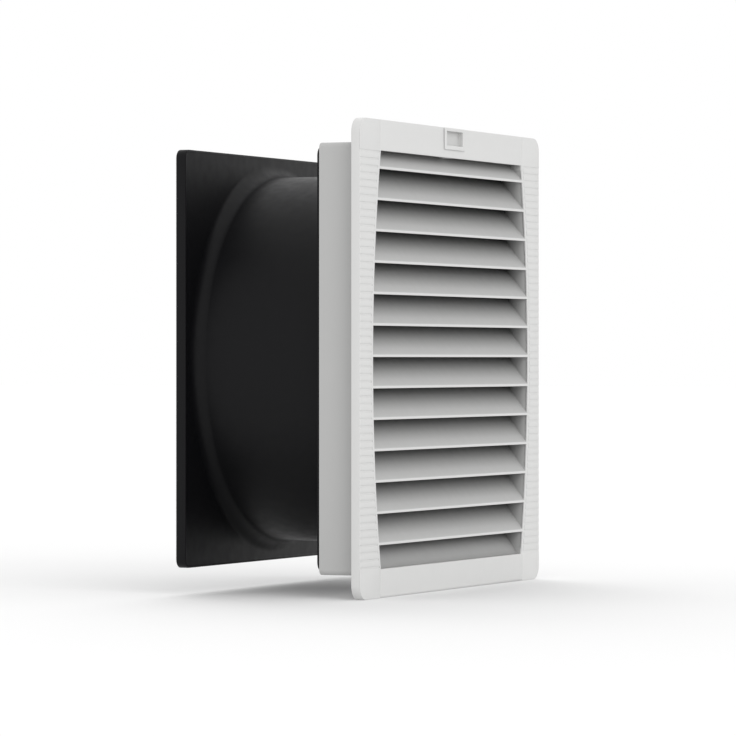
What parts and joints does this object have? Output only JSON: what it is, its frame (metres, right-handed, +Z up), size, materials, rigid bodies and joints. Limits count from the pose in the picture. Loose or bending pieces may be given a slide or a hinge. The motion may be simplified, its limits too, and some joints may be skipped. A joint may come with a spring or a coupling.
{
  "type": "cabinet filter fan",
  "caption": "Filter fan for a square cabinet cut-out: light-grey louvred hinged cover and filter box outside, black ducted axial fan behind.",
  "frame": {"origin": "centre of the panel cut-out, in the plane of the cabinet's outside surface, which is the back face of the flange", "axes": "+X to the right as seen from outside the cabinet, +Y into the cabinet along the fan's axis, +Z up"},
  "size_m": [0.32, 0.1477, 0.32],
  "materials": {
    "light_grey_plastic": "fine satin texture",
    "black_plastic": "satin moulded",
    "zinc_steel": "zinc plated",
    "spring_steel": "bright rolled",
    "foam": "open foam",
    "filter_fibre": "fluffy fibre",
    "aluminium": "die-cast",
    "bearing_steel": "ground",
    "laminate": "oiled sheet edges",
    "copper_winding": "varnished",
    "rotor_lacquer": "satin lacquer",
    "rubber": "matt",
    "black_steel": "blackened",
    "terminal_plastic": "satin"
  },
  "bodies": {
    "unit": {"bearing_front": "bearing_steel", "bearing_rear": "bearing_steel", "cable_grommet": "rubber", "fan_housing": "black_plastic", "filter_grille": "light_grey_plastic", "filter_mat": "filter_fibre", "flange_gasket": "foam", "guard_screw_bottom_left": "zinc_steel", "guard_screw_bottom_right": "zinc_steel", "guard_screw_top_left": "zinc_steel", "guard_screw_top_right": "zinc_steel", "hinge_pin_left": "zinc_steel", "hinge_pin_right": "zinc_steel", "housing_screw_bottom_left": "black_steel", "housing_screw_bottom_right": "black_steel", "housing_screw_top_left": "black_steel", "housing_screw_top_right": "black_steel", "motor_flange": "aluminium", "motor_lead": "rubber", "motor_screw_1": "zinc_steel", "motor_screw_2": "zinc_steel", "motor_screw_3": "zinc_steel", "motor_screw_4": "zinc_steel", "mounting_frame": "light_grey_plastic", "rear_guard": "black_plastic", "stator_core": "laminate", "stator_winding_front": "copper_winding", "stator_winding_rear": "copper_winding", "terminal_block": "terminal_plastic", "terminal_lid": "black_plastic", "terminal_lid_screw": "zinc_steel"},
    "cover": {"louvre_cover": "light_grey_plastic", "latch_spring_left": "spring_steel", "latch_spring_right": "spring_steel"},
    "latch": {"latch_button": "light_grey_plastic"},
    "rotor": {"impeller": "black_plastic", "impeller_screw_1": "zinc_steel", "impeller_screw_2": "zinc_steel", "impeller_screw_3": "zinc_steel", "rotor_can": "rotor_lacquer", "rotor_core": "laminate", "rotor_shaft": "zinc_steel", "shaft_retaining_ring": "zinc_steel"},
    "clip_top_left": {"panel_clip_top_left": "spring_steel"},
    "clip_top_right": {"panel_clip_top_right": "spring_steel"},
    "clip_bottom_left": {"panel_clip_bottom_left": "spring_steel"},
    "clip_bottom_right": {"panel_clip_bottom_right": "spring_steel"}
  },
  "joints": [
    {"name": "cover_hinge", "type": "hinge", "parent": "unit", "child": "cover", "pos_m": [0, -0.0046, -0.1581], "axis": [1, 0, 0], "range_deg": [0, 100]},
    {"name": "latch_slide", "type": "slide", "parent": "cover", "child": "latch", "axis": [0, 0, -1], "range_m": [0, 0.0015], "stiffness_N_per_m": 700, "springref_m": -0.002, "deforming": ["latch_spring_left", "latch_spring_right"]},
    {"name": "rotor_spin", "type": "hinge", "parent": "unit", "child": "rotor", "pos_m": [0, 0.1, 0], "axis": [0, 1, 0], "continuous": true},
    {"name": "clip_top_left_flex", "type": "hinge", "parent": "unit", "child": "clip_top_left", "pos_m": [-0.07, 0.0254, 0.1449], "axis": [1, 0, 0], "range_deg": [0, 6], "stiffness_Nm_per_rad": 1},
    {"name": "clip_top_right_flex", "type": "hinge", "parent": "unit", "child": "clip_top_right", "pos_m": [0.07, 0.0254, 0.1449], "axis": [1, 0, 0], "range_deg": [0, 6], "stiffness_Nm_per_rad": 1},
    {"name": "clip_bottom_left_flex", "type": "hinge", "parent": "unit", "child": "clip_bottom_left", "pos_m": [-0.07, 0.0254, -0.1449], "axis": [-1, 0, 0], "range_deg": [0, 6], "stiffness_Nm_per_rad": 1},
    {"name": "clip_bottom_right_flex", "type": "hinge", "parent": "unit", "child": "clip_bottom_right", "pos_m": [0.07, 0.0254, -0.1449], "axis": [-1, 0, 0], "range_deg": [0, 6], "stiffness_Nm_per_rad": 1}
  ]
}
